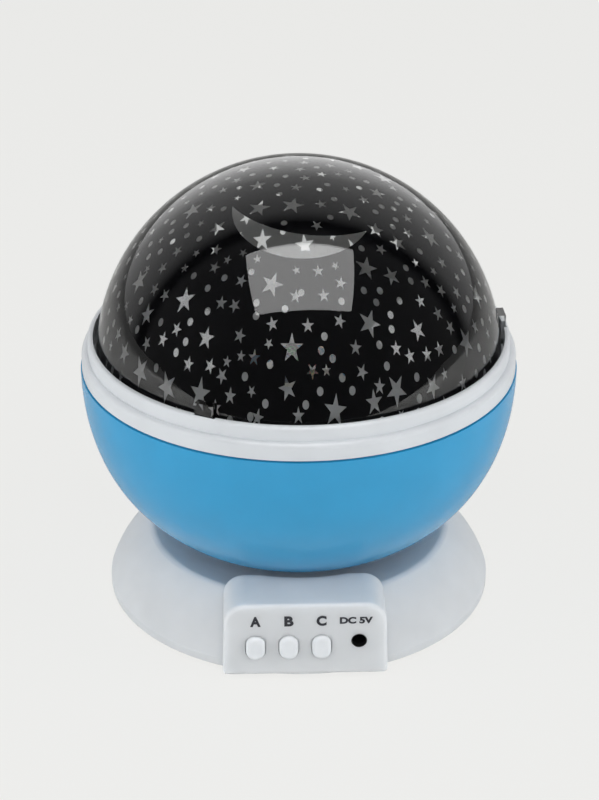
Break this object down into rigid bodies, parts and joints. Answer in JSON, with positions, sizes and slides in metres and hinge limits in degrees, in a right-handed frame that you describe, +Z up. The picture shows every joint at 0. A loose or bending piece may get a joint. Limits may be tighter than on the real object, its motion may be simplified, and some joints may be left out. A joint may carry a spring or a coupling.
{
  "type": "star projector night light",
  "caption": "Table night light: a ball with a star-printed clear dome turns on a flared base with push buttons, a low-voltage power socket and battery bays.",
  "frame": {"origin": "on the ball's axis, at the level of the table that the rubber feet stand on", "axes": "+Z up along the ball's axis, -Y towards the control box with the buttons, +X to its right"},
  "size_m": [0.1306, 0.1306, 0.1367],
  "materials": {
    "base_housing": "satin moulded ABS",
    "bottom_plate": "satin moulded ABS",
    "rubber_feet": "matt",
    "base_screws": "zinc plated",
    "bowl_shell": "gloss moulded ABS",
    "hub_bush": "acetal",
    "ring_gear": "acetal",
    "drive_pinion": "acetal",
    "gear_screws": "zinc plated",
    "collar_ring": "gloss moulded ABS",
    "collar_screws": "zinc plated",
    "inner_deck": "satin moulded ABS",
    "star_dome": "clear polystyrene with a black printed inside",
    "centre_column": "moulded ABS",
    "column_screws": "zinc plated",
    "thrust_washer": "acetal",
    "bush_clip": "spring steel",
    "platform_clip": "spring steel",
    "motor_platform": "moulded ABS",
    "gearbox_case": "plain",
    "motor_can": "nickel plated",
    "motor_screws": "zinc plated",
    "lamp_holder": "moulded ABS",
    "lamp_board": "white solder mask",
    "lamp_screws": "zinc plated",
    "led_warm": "clear epoxy",
    "led_red": "clear epoxy",
    "led_green": "clear epoxy",
    "led_blue": "clear epoxy",
    "control_board": "green solder mask",
    "board_screws": "zinc plated",
    "tact_switches": "moulded",
    "button_a": "satin",
    "button_b": "satin",
    "button_c": "satin",
    "switch_plunger_a": "moulded",
    "switch_plunger_b": "moulded",
    "switch_plunger_c": "moulded",
    "power_jack": "moulded",
    "jack_pin": "nickel plated",
    "battery_cells": "plain sleeve",
    "contact_springs": "nickel plated",
    "contact_plates": "nickel plated",
    "battery_door_left": "satin moulded ABS",
    "battery_door_right": "satin moulded ABS",
    "door_screw_left": "zinc plated",
    "door_screw_right": "zinc plated",
    "lamp_cable": "soft PVC",
    "motor_lead": "soft PVC",
    "battery_leads": "soft PVC"
  },
  "bodies": {
    "base": {"base_housing": "base_housing", "bottom_plate": "bottom_plate", "rubber_feet": "rubber_feet", "base_screws": "base_screws", "centre_column": "centre_column", "column_screws": "column_screws", "thrust_washer": "thrust_washer", "bush_clip": "bush_clip", "platform_clip": "platform_clip", "motor_platform": "motor_platform", "gearbox_case": "gearbox_case", "motor_can": "motor_can", "motor_screws": "motor_screws", "lamp_holder": "lamp_holder", "lamp_board": "lamp_board", "lamp_screws": "lamp_screws", "led_warm": "led_warm", "led_red": "led_red", "led_green": "led_green", "led_blue": "led_blue", "control_board": "control_board", "board_screws": "board_screws", "tact_switches": "tact_switches", "power_jack": "power_jack", "jack_pin": "jack_pin", "battery_cells": "battery_cells", "contact_springs": "contact_springs", "contact_plates": "contact_plates", "lamp_cable": "lamp_cable", "motor_lead": "motor_lead", "battery_leads": "battery_leads"},
    "ball": {"bowl_shell": "bowl_shell", "hub_bush": "hub_bush", "ring_gear": "ring_gear", "gear_screws": "gear_screws", "collar_ring": "collar_ring", "collar_screws": "collar_screws", "inner_deck": "inner_deck"},
    "dome": {"star_dome": "star_dome"},
    "pinion": {"drive_pinion": "drive_pinion"},
    "button_a_body": {"button_a": "button_a", "switch_plunger_a": "switch_plunger_a"},
    "button_b_body": {"button_b": "button_b", "switch_plunger_b": "switch_plunger_b"},
    "button_c_body": {"button_c": "button_c", "switch_plunger_c": "switch_plunger_c"},
    "door_left": {"battery_door_left": "battery_door_left", "door_screw_left": "door_screw_left"},
    "door_right": {"battery_door_right": "battery_door_right", "door_screw_right": "door_screw_right"}
  },
  "joints": [
    {"name": "ball_spin", "type": "hinge", "parent": "base", "child": "ball", "pos_m": [0, 0, 0.0136], "axis": [0, 0, 1], "continuous": true},
    {"name": "dome_lift", "type": "slide", "parent": "ball", "child": "dome", "axis": [0, 0, 1], "range_m": [0, 0.07]},
    {"name": "pinion_spin", "type": "hinge", "parent": "base", "child": "pinion", "pos_m": [0.03, 0, 0.0257], "axis": [0, 0, 1], "continuous": true},
    {"name": "button_a_press", "type": "slide", "parent": "base", "child": "button_a_body", "axis": [0, 1, 0], "range_m": [0, 0.0008], "stiffness_N_per_m": 400, "springref_m": -0.0004},
    {"name": "button_b_press", "type": "slide", "parent": "base", "child": "button_b_body", "axis": [0, 1, 0], "range_m": [0, 0.0008], "stiffness_N_per_m": 400, "springref_m": -0.0004},
    {"name": "button_c_press", "type": "slide", "parent": "base", "child": "button_c_body", "axis": [0, 1, 0], "range_m": [0, 0.0008], "stiffness_N_per_m": 400, "springref_m": -0.0004},
    {"name": "battery_door_left_off", "type": "slide", "parent": "base", "child": "door_left", "axis": [0, 0, -1], "range_m": [0, 0.03]},
    {"name": "battery_door_right_off", "type": "slide", "parent": "base", "child": "door_right", "axis": [0, 0, -1], "range_m": [0, 0.03]}
  ],
  "couplings": [
    {"joint": "pinion_spin", "follows": "ball_spin", "ratio": -4}
  ]
}
